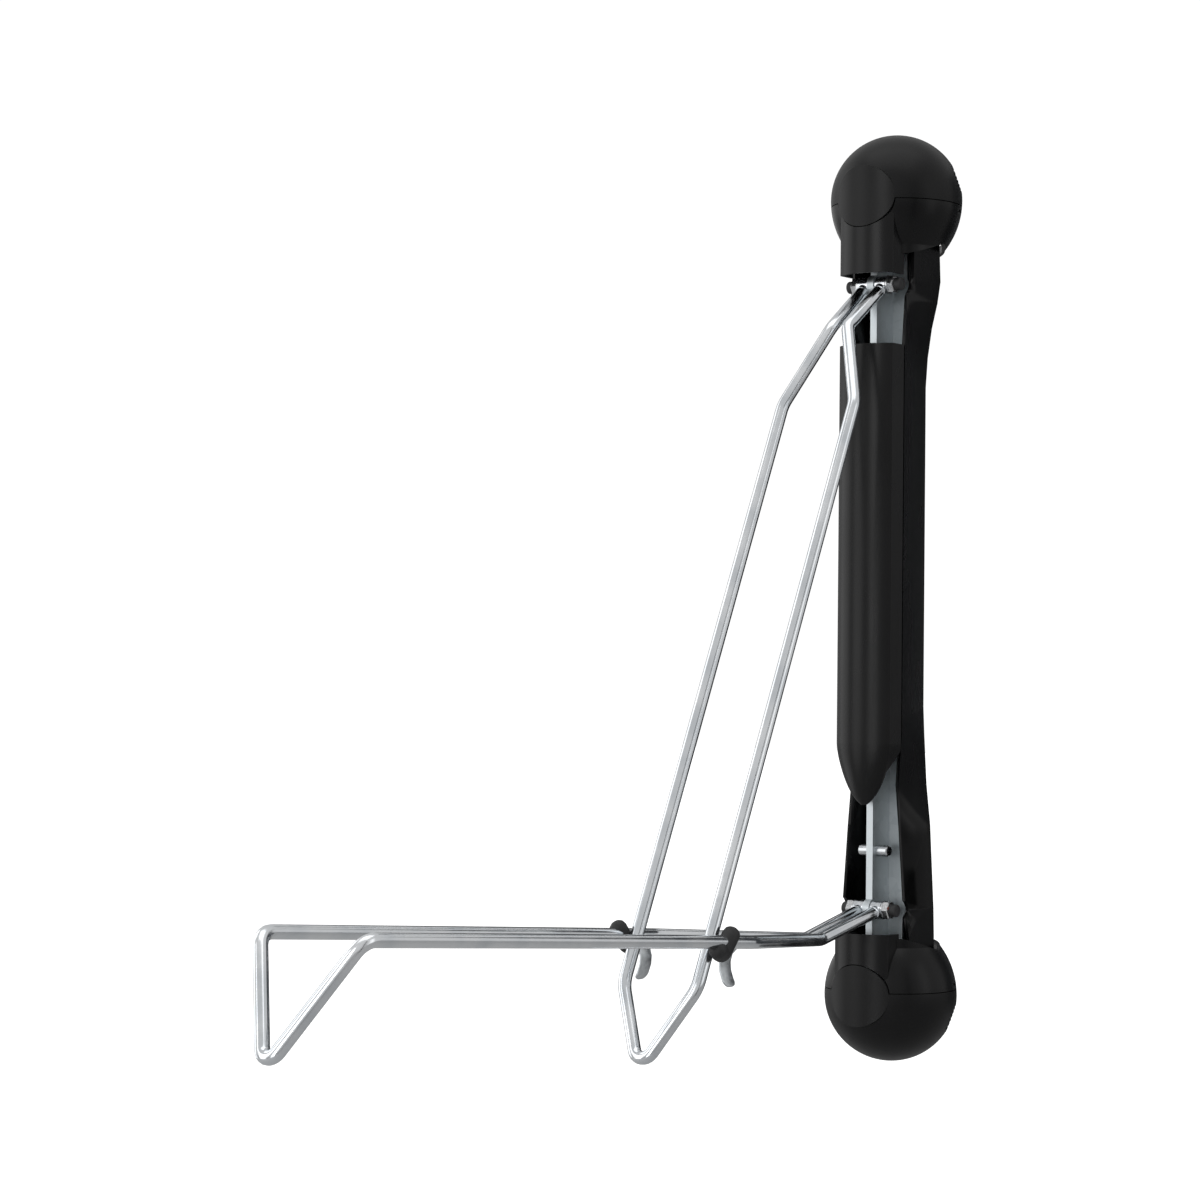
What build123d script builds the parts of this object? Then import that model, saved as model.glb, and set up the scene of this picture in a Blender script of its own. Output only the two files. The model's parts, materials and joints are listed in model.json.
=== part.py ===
from build123d import *
import math
import os

# Swivelling wall rack that holds a bicycle by its front wheel.
# Frame: the wall is the plane Y = 0 and the rack stands out along -Y, X runs to the
# rack's right, Z is up. The origin is on the back of the lower wall plate, level with
# the lower swivel bracket. All lengths are in millimetres.

os.makedirs("parts", exist_ok=True)

# ---- driving dimensions --------------------------------------------------------------
# Swivel brackets
bracket_spacing = 646.0     # between the two bracket centres
swivel_setback = 36.5       # wall to swivel axis
dome_radius = 53.5          # outside of the caps
flank_radius = 66.3         # fuller side of the housings, tangent to the caps' sphere
shell_wall = 2.5            # moulded walls
seam_gap = 0.7              # shadow line between two moulded pieces
seam_shift = 5.5            # bracket centre to the seam, towards the collar
throat_radius = 37.2        # round opening that the swivelling body turns in
throat_depth = 48.0         # bracket centre to the throat's rim at its front
rim_notch_depth = 37.3      # the rim's shallow V on each side, at its deepest
rim_notch_setback = 6.0     # that point, behind the swivel axis
rim_notch_front = 28.0      # where the V starts, ahead of the swivel axis
rim_rear_depth = 44.0       # bracket centre to the rim beside the wall
upper_collar_drop = 64.6    # bracket centre to the collar's free edge
lower_collar_rise = 51.8
face_half_width = 25.0      # curved front of collars and cover
face_radius = 39.5
collar_return = 16.0        # side walls of the collars behind the front's corners
badge_half_width = 27.0     # oval lobe on each cap
badge_half_height = 24.5
badge_shift = 2.4           # its centre, from the bracket centre towards the collar
lip_depth = 4.0             # locating lip inside each cap
lip_width = 2.3
lip_play = 1.0              # lip to the housing's inside
grip_angle = 115.0          # finger grips on the caps, round from the front
grip_height = 17.5          # their middle, from the bracket centre
grip_dish_radius = 58.0
grip_dish_depth = 2.8
grip_groove_pitch = 3.2
grip_groove_width = 1.3
grip_groove_depth = 0.7
grip_groove_count = 6
latch_slot_length = 5.0     # pair of slots for the cap's latch on each side
latch_slot_height = 2.0
latch_slot_spacing = 8.0
latch_slot_setback = 20.0   # behind the swivel axis

# Wall plates
plate_radius = 31.5
plate_thickness = 4.0
wall_hole_spacing = 30.0
wall_hole_height = 14.0     # above the shelf's centre, on the cap's side
wall_hole_radius = 3.25
shelf_thickness = 5.0
shelf_radius = 16.0
gusset_thickness = 4.0
gusset_reach = 18.0
tab_spread = 50.0           # screws that hold the housing to the plate
tab_width = 8.0
tab_height = 6.4
tab_thickness = 4.0
tab_clearance = 0.5         # cap's lip to the tabs
tab_screw_radius = 1.5

# Swivel pins and bushes
pin_radius = 6.0
pin_head_radius = 10.0
pin_head_height = 3.0
pin_fit = 0.05              # radial play of a pin in its plate
bush_fit = 0.06             # radial play of a pin in its bush
bush_wall = 3.0
bush_flange_radius = 13.0
bush_flange = 2.0
swivel_gap = 0.1            # end play between shelf and bush
lug_thickness = 6.0
lug_half_width = 22.0

# Spine: two folded angles back to back
spine_sheet = 3.0
blade_front = 33.6          # swivel axis to the blade's front edge
flange_setback = 8.7        # swivel axis to the flange's front face
flange_half_width = 16.0
flange_lobe_x = 12.5        # rounded lobes of the flange behind the hinge bolts
flange_lobe_radius = 7.0
flange_lobe_fillet = 6.0
hinge_ear_radius = 8.5      # blade widened round each hinge bolt
spine_bend = 2.5

# Hinges
hinge_offset = 31.1         # swivel axis to hinge axis
lower_hinge_rise = 70.4     # lower bracket centre to lower hinge
upper_hinge_drop = 72.6
hinge_bolt_radius = 4.0
hinge_fit = 0.06
eye_radius = 7.4
eye_length = 9.6
eye_gap = 0.3
washer_thickness = 1.2
washer_radius = 7.2
nut_flats = 13.0
nut_height = 5.0
end_cap_radius = 5.0
end_cap_length = 6.0

# Stop pin through the blade
stop_pin_rise = 47.0        # above the lower hinge
stop_pin_setback = 8.2      # behind the blade's front edge
stop_pin_radius = 4.6
stop_pin_length = 27.0

# Back channel
channel_back = 18.0         # swivel axis to the outside of its back
channel_front = 26.7        # swivel axis to its front edges
channel_throat_front = 20.0  # the same, inside the brackets
channel_half_width = 29.5   # inside the brackets
channel_waist_front = 25.5  # half widths behind the cover
channel_waist_back = 16.3
channel_nip = 22.5          # front half width just below the cover's tip
channel_low_taper = 67.0    # heights over the lower hinge where its sides change slope
channel_nip_rise = 100.0
channel_low_blend = 140.0
channel_low_waist = 163.0
channel_high_waist = 79.0   # and down from the upper hinge
channel_high_blend = 55.0
channel_high_taper = 31.0
channel_high_flare = 10.0
channel_end_gap = 18.0      # bracket centre to the channel's end
channel_corner = 3.0
hinge_notch_radius = 9.0
boss_radius = 4.2
boss_hole_depth = 12.0
screw_radius = 1.5
screw_length = 11.0         # below the head, beyond the flange
screw_spread = 20.0

# Front cover
cover_top_drop = 49.0       # upper hinge to the cover's upper edge
cover_shoulder_rise = 133.0  # lower hinge to where the cover starts to narrow
cover_tip_rise = 84.0       # lower hinge to the cover's tip
cover_return = 16.5         # depth of its side walls
cover_rear_half_width = 25.5
cover_heel_drop = 6.0       # shoulder to where the side walls start to run out
cover_heel_length = 16.0
cover_skirt = 3.0           # depth of the side walls round the tip

# Arms: reach is measured forward of the hinge axis, rise and drop from it
rod_radius = 5.0
upper_neck_reach = 52.8
upper_neck_drop = 38.6
upper_neck_half_width = 7.4
upper_shoulder_reach = 82.5
upper_shoulder_drop = 102.0
upper_shoulder_half_width = 33.5
upper_knee_reach = 285.5
upper_knee_drop = 543.3
upper_knee_half_width = 33.0
upper_tip_reach = 313.1
upper_tip_drop = 603.1
lower_neck_reach = 83.7
lower_neck_drop = 18.9
lower_neck_half_width = 7.0
lower_bend_reach = 232.0
lower_front_reach = 657.3
lower_front_rise = 18.9
lower_half_width = 44.5
lower_tip_reach = 706.8
lower_tip_drop = 59.7
neck_bend_radius = 18.0
shoulder_bend_radius = 30.0
corner_bend_radius = 17.0
tip_bend_radius = 16.0

# Catches and bumpers on the lower arm
catch_reach = 255.0
catch_inset = 3.5           # its middle, inward of the rail's middle
catch_width = 12.0
catch_sheet = 2.8
catch_length = 21.0
catch_flick = 3.0
bumper_lead = 19.0          # beyond the catch
bumper_inner = 41.0
bumper_thickness = 12.5
bumper_length = 20.0        # between the centres of its round ends
bumper_height = 13.0
bumper_drop = 2.3           # its middle, below the rail's
bumper_slant = 27.0         # its wall end is the higher one

# ---- places that follow from them ----------------------------------------------------
swivel_y = -swivel_setback
hinge_y = swivel_y - hinge_offset
lower_hinge_z = lower_hinge_rise
upper_hinge_z = bracket_spacing - upper_hinge_drop
inner_radius = dome_radius - shell_wall
flank_offset = flank_radius - dome_radius
face_centre = dome_radius - face_radius
face_depth = face_centre + math.sqrt(face_radius**2 - face_half_width**2)
collar_top = seam_shift + lip_depth + seam_gap
tab_drop = seam_shift + lip_depth + tab_clearance + tab_height / 2
plate_foot = tab_drop + tab_height / 2
bush_outer = pin_radius + bush_fit + bush_wall
eye_bore = hinge_bolt_radius + hinge_fit
lug_near = shelf_thickness / 2 + swivel_gap + bush_flange
lug_far = lug_near + lug_thickness
blade_y = swivel_y - blade_front
flange_front_y = swivel_y - flange_setback
flange_back_y = flange_front_y + spine_sheet
washer_near = spine_sheet + eye_gap + eye_length + eye_gap
nut_near = washer_near + washer_thickness
eye_middle = spine_sheet + eye_gap + eye_length / 2
stop_pin_y = blade_y + stop_pin_setback
stop_pin_z = lower_hinge_z + stop_pin_rise
cover_low = lower_hinge_z + cover_shoulder_rise
cover_high = upper_hinge_z - cover_top_drop
cover_rear_y = swivel_y - face_depth + cover_return
skirt_y = swivel_y - face_depth + cover_skirt
boss_inner_x = screw_spread / 2 - boss_radius
boss_depth = face_centre + math.sqrt((face_radius - shell_wall) ** 2 - boss_inner_x**2) + 0.1
bumper_reach = catch_reach + bumper_lead
screw_heights = [cover_low + 30, bracket_spacing / 2 + 20, cover_high - 30]


def save(part, name):
    part.label = name
    export_step(part, "parts/" + name + ".step")


def put(part, upper):
    """Place a bracket piece, modelled cap upwards about Z = 0, at its end of the rack."""
    if upper:
        return part.moved(Location((0, 0, bracket_spacing)))
    return part.mirror(Plane.XY)


# ---- wall plate ----------------------------------------------------------------------
with BuildPart() as wall_plate:
    with BuildSketch(Plane.XZ) as plate_outline:
        Circle(plate_radius)
        with Locations((0, -plate_foot - plate_radius)):
            Rectangle(3 * plate_radius, 2 * plate_radius, mode=Mode.SUBTRACT)
        with Locations((0, -tab_drop)):
            with GridLocations(tab_spread, 0, 2, 1):
                Circle(tab_screw_radius, mode=Mode.SUBTRACT)
        with Locations((0, wall_hole_height)):
            with GridLocations(wall_hole_spacing, 0, 2, 1):
                Circle(wall_hole_radius, mode=Mode.SUBTRACT)
    extrude(amount=plate_thickness)
    with BuildSketch(Plane.XY.offset(-shelf_thickness / 2)) as shelf_outline:
        with Locations((0, swivel_y)):
            Circle(shelf_radius)
        with Locations((0, (swivel_y - plate_thickness) / 2)):
            Rectangle(2 * shelf_radius, swivel_setback - plate_thickness)
    extrude(amount=shelf_thickness)
    with BuildSketch(Plane.YZ) as gusset_outline:
        with BuildLine():
            Polyline(
                (-plate_thickness, shelf_thickness / 2),
                (-plate_thickness - gusset_reach, shelf_thickness / 2),
                (-plate_thickness, shelf_thickness / 2 + gusset_reach),
                close=True,
            )
        make_face()
    extrude(amount=gusset_thickness / 2, both=True)
    with BuildSketch(Plane.XY) as pin_hole:
        with Locations((0, swivel_y)):
            Circle(pin_radius + pin_fit)
    extrude(amount=shelf_thickness, both=True, mode=Mode.SUBTRACT)

# ---- swivel pin and bush -------------------------------------------------------------
with BuildPart() as swivel_pin:
    with BuildSketch(Plane.XY.offset(shelf_thickness / 2)) as pin_head:
        with Locations((0, swivel_y)):
            Circle(pin_head_radius)
    extrude(amount=pin_head_height)
    chamfer(swivel_pin.edges().group_by(Axis.Z)[-1], 0.8)
    with BuildSketch(Plane.XY.offset(shelf_thickness / 2)) as pin_shank:
        with Locations((0, swivel_y)):
            Circle(pin_radius)
    extrude(amount=-(shelf_thickness / 2 + lug_far - 1.0))
    chamfer(swivel_pin.edges().group_by(Axis.Z)[0], 1.0)

with BuildPart() as swivel_bush:
    with BuildSketch(Plane.XY.offset(-lug_near)) as bush_flange_face:
        with Locations((0, swivel_y)):
            Circle(bush_flange_radius)
    extrude(amount=bush_flange)
    with BuildSketch(Plane.XY.offset(-lug_near)) as bush_sleeve:
        with Locations((0, swivel_y)):
            Circle(bush_outer)
    extrude(amount=-lug_thickness)
    with BuildSketch(Plane.XY.offset(-lug_far)) as bush_bore:
        with Locations((0, swivel_y)):
            Circle(pin_radius + bush_fit)
    extrude(amount=lug_far, mode=Mode.SUBTRACT)

# ---- swivel lug: the plate that closes each end of the spine -------------------------
with BuildPart() as swivel_lug:
    with BuildSketch(Plane.XY.offset(-lug_far)) as lug_outline:
        with Locations((0, swivel_y)):
            Circle(shelf_radius)
        with Locations((0, (flange_back_y + flange_front_y) / 2)):
            Rectangle(2 * lug_half_width, spine_sheet + 2.0)
        with Locations((0, (swivel_y + blade_y) / 2)):
            Rectangle(4 * spine_sheet, blade_front)
        fillet(lug_outline.vertices(), 1.5)
        with Locations((0, swivel_y)):
            Circle(bush_outer + pin_fit, mode=Mode.SUBTRACT)
    extrude(amount=lug_thickness)


# ---- caps ----------------------------------------------------------------------------
def badge_form(grow):
    """Oval column along Y that bounds the lobe of a cap."""
    with BuildPart() as column:
        with BuildSketch(Plane.XZ.offset(swivel_setback)):
            with Locations((0, -badge_shift)):
                Ellipse(badge_half_width + grow, badge_half_height + grow)
        extrude(amount=dome_radius + 10)
    return column.part


badge_column = badge_form(0)
badge_cut = badge_form(seam_gap)
grip_level_radius = math.sqrt(dome_radius**2 - grip_height**2)
grip_centre_reach = dome_radius - grip_dish_depth + grip_dish_radius
grip_centre_x = grip_centre_reach * grip_level_radius / dome_radius * math.sin(math.radians(grip_angle))
grip_centre_back = -grip_centre_reach * grip_level_radius / dome_radius * math.cos(math.radians(grip_angle))
grip_centre_z = grip_centre_reach * grip_height / dome_radius

with BuildPart() as lobe:
    add(badge_column)
    with BuildSketch(Plane.XY.offset(-dome_radius)) as lobe_front:
        with Locations((0, swivel_y)):
            Circle(dome_radius)
    extrude(amount=2 * dome_radius, mode=Mode.INTERSECT)
    with BuildSketch(Plane.XY) as lobe_hollow_below:
        with Locations((0, swivel_y)):
            Circle(inner_radius)
    extrude(amount=-dome_radius, mode=Mode.SUBTRACT)
    with Locations((0, swivel_y, 0)):
        Sphere(inner_radius, mode=Mode.SUBTRACT)

with BuildPart() as grip_pad:
    with Locations((0, swivel_y, 0)):
        Sphere(inner_radius + shell_wall / 2)
    with Locations((grip_centre_x, swivel_y + grip_centre_back, grip_centre_z)):
        Sphere(grip_dish_radius + grip_groove_depth + shell_wall, mode=Mode.INTERSECT)

with BuildPart() as grip_grooves:
    with Locations((grip_centre_x, swivel_y + grip_centre_back, grip_centre_z)):
        Sphere(grip_dish_radius + grip_groove_depth)
    with BuildSketch(Plane.YZ) as groove_lines:
        with Locations((swivel_y, grip_height)):
            with GridLocations(0, grip_groove_pitch, 1, grip_groove_count):
                Rectangle(4 * dome_radius, grip_groove_width)
    extrude(amount=2 * dome_radius, mode=Mode.INTERSECT)

with BuildPart() as cap:
    with BuildSketch(Plane.XZ.offset(swivel_setback)) as dome_profile:
        with BuildLine():
            cap_foot = seam_gap / 2 - seam_shift
            lip_foot = -seam_shift - lip_depth
            lip_outer = inner_radius - lip_play
            lip_inner = inner_radius - lip_width
            lip_top = math.sqrt(inner_radius**2 - lip_inner**2)
            rim = math.sqrt(dome_radius**2 - cap_foot**2)
            ThreePointArc((rim, cap_foot), (dome_radius / math.sqrt(2), dome_radius / math.sqrt(2)), (0, dome_radius))
            Line((0, dome_radius), (0, inner_radius))
            RadiusArc((0, inner_radius), (lip_inner, lip_top), inner_radius)
            Line((lip_inner, lip_top), (lip_inner, lip_foot))
            Line((lip_inner, lip_foot), (lip_outer, lip_foot))
            Line((lip_outer, lip_foot), (lip_outer, cap_foot))
            Line((lip_outer, cap_foot), (rim, cap_foot))
        make_face()
    revolve(axis=Axis((0, swivel_y, 0), (0, 0, 1)))
    add(lobe.part)
    add(grip_pad.part)
    add(grip_pad.part.mirror(Plane.YZ))
    with Locations((grip_centre_x, swivel_y + grip_centre_back, grip_centre_z)):
        Sphere(grip_dish_radius, mode=Mode.SUBTRACT)
    with Locations((-grip_centre_x, swivel_y + grip_centre_back, grip_centre_z)):
        Sphere(grip_dish_radius, mode=Mode.SUBTRACT)
    add(grip_grooves.part, mode=Mode.SUBTRACT)
    add(grip_grooves.part.mirror(Plane.YZ), mode=Mode.SUBTRACT)
    split(bisect_by=Plane.XZ, keep=Keep.TOP)

# ---- housings ------------------------------------------------------------------------
with BuildPart() as housing_tabs:
    with BuildSketch(Plane.XZ.offset(plate_thickness)) as tab_outline:
        with Locations((0, -tab_drop)):
            Rectangle(2 * dome_radius, 2 * (plate_foot - tab_drop))
            Rectangle(tab_spread - tab_width, 2 * plate_foot, mode=Mode.SUBTRACT)
            with GridLocations(tab_spread, 0, 2, 1):
                Circle(tab_screw_radius + 0.2, mode=Mode.SUBTRACT)
    extrude(amount=tab_thickness)
    with Locations((0, swivel_y, 0)):
        Sphere((inner_radius + dome_radius) / 2, mode=Mode.INTERSECT)

with BuildPart() as tab_screws:
    with BuildSketch(Plane.XZ.offset(0.5)) as tab_screw_shanks:
        with Locations((0, -tab_drop)):
            with GridLocations(tab_spread, 0, 2, 1):
                Circle(tab_screw_radius)
    extrude(amount=plate_thickness + tab_thickness)
    with BuildSketch(Plane.XZ.offset(plate_thickness + tab_thickness)) as tab_screw_heads:
        with Locations((0, -tab_drop)):
            with GridLocations(tab_spread, 0, 2, 1):
                Circle(2 * tab_screw_radius - 0.2)
    extrude(amount=tab_screw_radius)


def flank(radius, drop):
    """Distance from the swivel axis to the housing's side, for its outer or inner radius."""
    return math.sqrt(radius**2 - drop**2) - flank_offset


def housing(collar_drop):
    """Lower half of a bracket's ball with the collar in front of the hinge's end."""
    inner_flank = flank_radius - shell_wall
    rim_radius = throat_radius + shell_wall
    top = seam_shift + seam_gap / 2
    outer_foot = math.sqrt(flank_radius**2 - (rim_radius + flank_offset) ** 2)
    inner_foot = math.sqrt(inner_flank**2 - (throat_radius + flank_offset) ** 2)
    middle = (top + inner_foot) / 2
    with BuildPart() as shell:
        with BuildSketch(Plane.XZ.offset(swivel_setback)):
            with BuildLine():
                ThreePointArc(
                    (flank(flank_radius, top), -top),
                    (flank(flank_radius, middle), -middle),
                    (rim_radius, -outer_foot),
                )
                Line((rim_radius, -outer_foot), (rim_radius, -throat_depth))
                Line((rim_radius, -throat_depth), (throat_radius, -throat_depth))
                Line((throat_radius, -throat_depth), (throat_radius, -inner_foot))
                ThreePointArc(
                    (throat_radius, -inner_foot),
                    (flank(inner_flank, middle), -middle),
                    (flank(inner_flank, top), -top),
                )
                Line((flank(inner_flank, top), -top), (flank(flank_radius, top), -top))
            make_face()
        revolve(axis=Axis((0, swivel_y, 0), (0, 0, 1)))
        with BuildSketch(Plane.XY.offset(-dome_radius)):
            with Locations((0, swivel_y - dome_radius)):
                Rectangle(2 * (face_half_width - shell_wall), 2 * dome_radius - 40)
        extrude(amount=dome_radius, mode=Mode.SUBTRACT)
        with BuildSketch(Plane.YZ):
            with BuildLine():
                Polyline(
                    (swivel_y - rim_notch_front, -throat_depth),
                    (swivel_y + rim_notch_setback, -rim_notch_depth),
                    (0, -rim_rear_depth),
                    (0, -2 * throat_depth),
                    (swivel_y - rim_notch_front, -2 * throat_depth),
                    close=True,
                )
            make_face()
        extrude(amount=dome_radius, both=True, mode=Mode.SUBTRACT)
        with BuildSketch(Plane.XY.offset(-collar_drop)):
            with Locations((0, swivel_y - face_centre)):
                Circle(face_radius)
                Circle(face_radius - shell_wall, mode=Mode.SUBTRACT)
            with Locations((0, swivel_y - dome_radius)):
                Rectangle(2 * face_half_width, 2 * (dome_radius - face_depth), mode=Mode.INTERSECT)
            with Locations((0, swivel_y - face_depth + collar_return / 2)):
                with GridLocations(2 * face_half_width - shell_wall, 0, 2, 1):
                    Rectangle(shell_wall, collar_return + 0.2)
            with Locations((0, swivel_y)):
                Circle(throat_radius, mode=Mode.SUBTRACT)
        extrude(amount=collar_drop - collar_top)
        split(bisect_by=Plane.XZ, keep=Keep.TOP)
        add(badge_cut, mode=Mode.SUBTRACT)
        with BuildSketch(Plane.YZ):
            with Locations((swivel_y + latch_slot_setback, -collar_top)):
                with GridLocations(latch_slot_spacing, 0, 2, 1):
                    Rectangle(latch_slot_length, latch_slot_height)
        extrude(amount=dome_radius, both=True, mode=Mode.SUBTRACT)
        add(housing_tabs.part)
    return shell.part


# ---- spine ---------------------------------------------------------------------------
with BuildPart() as spine_right:
    with BuildSketch(Plane.XY.offset(lug_far)) as angle_section:
        with Locations((spine_sheet / 2, (blade_y + flange_back_y) / 2)):
            Rectangle(spine_sheet, flange_back_y - blade_y)
        with Locations((flange_half_width / 2, (flange_front_y + flange_back_y) / 2)):
            Rectangle(flange_half_width, spine_sheet)
        fillet(angle_section.vertices().group_by(Axis.X)[0].sort_by(Axis.Y)[-1:], spine_bend)
    extrude(amount=bracket_spacing - 2 * lug_far)
    with BuildSketch(Plane.XZ.offset(-flange_back_y)) as flange_lobes:
        for height in (lower_hinge_z, upper_hinge_z):
            with Locations((flange_lobe_x, height)):
                Circle(flange_lobe_radius)
    extrude(amount=spine_sheet)
    flange_edges = spine_right.edges().filter_by(Axis.Y).filter_by_position(
        Axis.X, flange_half_width - 0.1, flange_half_width + 0.1
    )
    fillet(flange_edges.sort_by(Axis.Z)[1:-1], flange_lobe_fillet)
    with BuildSketch(Plane.YZ) as hinge_ears:
        with Locations((hinge_y, lower_hinge_z), (hinge_y, upper_hinge_z)):
            Circle(hinge_ear_radius)
    extrude(amount=spine_sheet)
    with BuildSketch(Plane.YZ) as blade_holes:
        with Locations((hinge_y, lower_hinge_z), (hinge_y, upper_hinge_z)):
            Circle(hinge_bolt_radius + pin_fit)
        with Locations((stop_pin_y, stop_pin_z)):
            Circle(stop_pin_radius + pin_fit)
    extrude(amount=spine_sheet, mode=Mode.SUBTRACT)
    with BuildSketch(Plane.XZ.offset(-flange_back_y)) as flange_holes:
        with Locations([(screw_spread / 2, height) for height in screw_heights]):
            Circle(screw_radius + 0.2)
        with Locations([(screw_spread / 2, height + 2 * boss_radius) for height in screw_heights]):
            Circle(screw_radius + 0.2)
    extrude(amount=spine_sheet, mode=Mode.SUBTRACT)


# ---- hinge hardware ------------------------------------------------------------------
def tube_along_x(start, length, radius, bore, z):
    with BuildPart() as tube:
        with BuildSketch(Plane.YZ.offset(start)):
            with Locations((hinge_y, z)):
                Circle(radius)
                if bore:
                    Circle(bore, mode=Mode.SUBTRACT)
        extrude(amount=length)
    return tube.part


def hinge_bolt(z):
    with BuildPart() as bolt:
        with BuildSketch(Plane.YZ.offset(-nut_near - nut_height)):
            with Locations((hinge_y, z)):
                RegularPolygon(nut_flats / 2, 6, major_radius=False)
        extrude(amount=nut_height)
        with BuildSketch(Plane.YZ.offset(-nut_near)):
            with Locations((hinge_y, z)):
                Circle(hinge_bolt_radius)
        extrude(amount=2 * nut_near + nut_height + 1.0)
    return bolt.part


def hinge_nut(z):
    with BuildPart() as nut:
        with BuildSketch(Plane.YZ.offset(nut_near)):
            with Locations((hinge_y, z)):
                RegularPolygon(nut_flats / 2, 6, major_radius=False)
                Circle(hinge_bolt_radius + pin_fit, mode=Mode.SUBTRACT)
        extrude(amount=nut_height)
        chamfer(nut.edges().group_by(Axis.X)[-1].filter_by(GeomType.LINE), 0.7)
    return nut.part


def end_cap(z):
    with BuildPart() as plug:
        with BuildSketch(Plane.YZ.offset(nut_near + nut_height)):
            with Locations((hinge_y, z)):
                Circle(end_cap_radius)
        extrude(amount=end_cap_length)
        fillet(plug.edges().group_by(Axis.X)[-1], 1.2)
        with BuildSketch(Plane.YZ.offset(nut_near + nut_height)):
            with Locations((hinge_y, z)):
                Circle(hinge_bolt_radius + pin_fit)
        extrude(amount=1.0 + pin_fit, mode=Mode.SUBTRACT)
    return plug.part


with BuildPart() as stop_pin:
    with BuildSketch(Plane.YZ.offset(-stop_pin_length / 2)) as stop_pin_end:
        with Locations((stop_pin_y, stop_pin_z)):
            Circle(stop_pin_radius)
    extrude(amount=stop_pin_length)
    chamfer(stop_pin.edges().filter_by(GeomType.CIRCLE), 0.8)


# ---- back channel --------------------------------------------------------------------
def channel_section(z, front, front_half_width, back_half_width, inset):
    """Plan of the channel at one height, closed across its open front."""
    back_y = swivel_y + channel_back - inset
    front_y = swivel_y - front - 2 * inset
    with BuildSketch(Plane.XY.offset(z)) as section:
        with BuildLine():
            Polyline(
                (-front_half_width + inset, front_y),
                (front_half_width - inset, front_y),
                (back_half_width - inset, back_y),
                (-back_half_width + inset, back_y),
                close=True,
            )
        make_face()
        fillet(section.vertices().group_by(Axis.Y)[-1], channel_corner - inset / 2)
    return section.sketch


channel_ends = (channel_throat_front, channel_half_width, channel_half_width)
channel_middle = (channel_front, channel_waist_front, channel_waist_back)
channel_stations = [
    (channel_end_gap, *channel_ends),
    (throat_depth, *channel_ends),
    (lower_hinge_z, channel_front, channel_half_width + 0.5, channel_half_width - 0.6),
    (lower_hinge_z + channel_low_taper, channel_front, channel_nip + 2.8, channel_waist_back + 7.7),
    (lower_hinge_z + channel_nip_rise, channel_front, channel_nip, channel_waist_back + 3.9),
    (lower_hinge_z + channel_low_blend, channel_front, channel_waist_front, channel_waist_back + 1.1),
    (lower_hinge_z + channel_low_waist, *channel_middle),
    (upper_hinge_z - channel_high_waist, *channel_middle),
    (upper_hinge_z - channel_high_blend, channel_front, channel_waist_front, channel_waist_back + 1.8),
    (upper_hinge_z - channel_high_taper, channel_front, channel_waist_front + 1.0, channel_waist_back + 5.7),
    (upper_hinge_z - channel_high_flare, channel_front, channel_half_width - 2.0, channel_half_width - 4.0),
    (bracket_spacing - upper_collar_drop - 1.0, channel_throat_front, channel_half_width, channel_half_width - 1.3),
    (bracket_spacing - channel_end_gap, *channel_ends),
]


def channel_form(inset):
    """Channel lofted through its sections; the ends turn inside the brackets."""
    sections = [channel_section(*station, inset) for station in channel_stations]
    with BuildPart() as form:
        loft(sections, ruled=True)
    return form.part


channel_outside = channel_form(0)
channel_inside = channel_form(shell_wall)
with BuildPart() as back_channel:
    add(channel_outside)
    add(channel_inside, mode=Mode.SUBTRACT)
    with BuildSketch(Plane.YZ) as hinge_notches:
        with Locations((hinge_y, lower_hinge_z), (hinge_y, upper_hinge_z)):
            Circle(hinge_notch_radius)
    extrude(amount=2 * channel_half_width, both=True, mode=Mode.SUBTRACT)
    with BuildSketch(Plane.XZ.offset(-flange_back_y)) as channel_bosses:
        for height in screw_heights:
            with Locations((0, height + 2 * boss_radius)):
                with GridLocations(screw_spread, 0, 2, 1):
                    Circle(boss_radius)
    extrude(amount=-(channel_back + swivel_y - shell_wall / 2 - flange_back_y))
    with BuildSketch(Plane.XZ.offset(-flange_back_y)) as channel_boss_holes:
        for height in screw_heights:
            with Locations((0, height + 2 * boss_radius)):
                with GridLocations(screw_spread, 0, 2, 1):
                    Circle(screw_radius)
    extrude(amount=-boss_hole_depth, mode=Mode.SUBTRACT)


# ---- front cover ---------------------------------------------------------------------
def cover_section(z, half_width, edge, front, inset):
    """Plan of the cover at one height: a shallow arc with side walls behind it."""
    rear_half_width = half_width * cover_rear_half_width / face_half_width
    rear_y = cover_rear_y + inset
    with BuildSketch(Plane.XY.offset(z)) as section:
        with BuildLine():
            corner_y = swivel_y - edge + inset
            front_y = swivel_y - front + inset
            ThreePointArc(
                (-half_width + inset, corner_y),
                (0, front_y),
                (half_width - inset, corner_y),
            )
            Line((half_width - inset, corner_y), (rear_half_width - inset, rear_y))
            Line((rear_half_width - inset, rear_y), (-rear_half_width + inset, rear_y))
            Line((-rear_half_width + inset, rear_y), (-half_width + inset, corner_y))
        make_face()
    return section.sketch


def cover_form(inset):
    """Cover from its flat upper edge down to the tip, which narrows and curves back."""
    tip = lower_hinge_z + cover_tip_rise
    rise = cover_low - tip
    stations = [
        (tip + 1.2 * inset, 2.0 + 1.1 * inset, face_depth - 1.5, face_depth - 0.5),
        (tip + 0.12 * rise + inset, 0.36 * face_half_width, face_depth - 1.4, face_depth + 1.8),
        (tip + 0.36 * rise + inset, 0.66 * face_half_width, face_depth - 1.2, face_depth + 5.0),
        (tip + 0.66 * rise + inset, 0.88 * face_half_width, face_depth - 0.6, face_depth + 7.6),
        (cover_low + inset, face_half_width, face_depth, dome_radius),
    ]
    sections = [cover_section(*station, inset) for station in stations]
    with BuildPart() as form:
        loft(sections)
        extrude(sections[-1], amount=cover_high - cover_low - inset + (1.0 if inset else 0.0))
    return form.part


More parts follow.
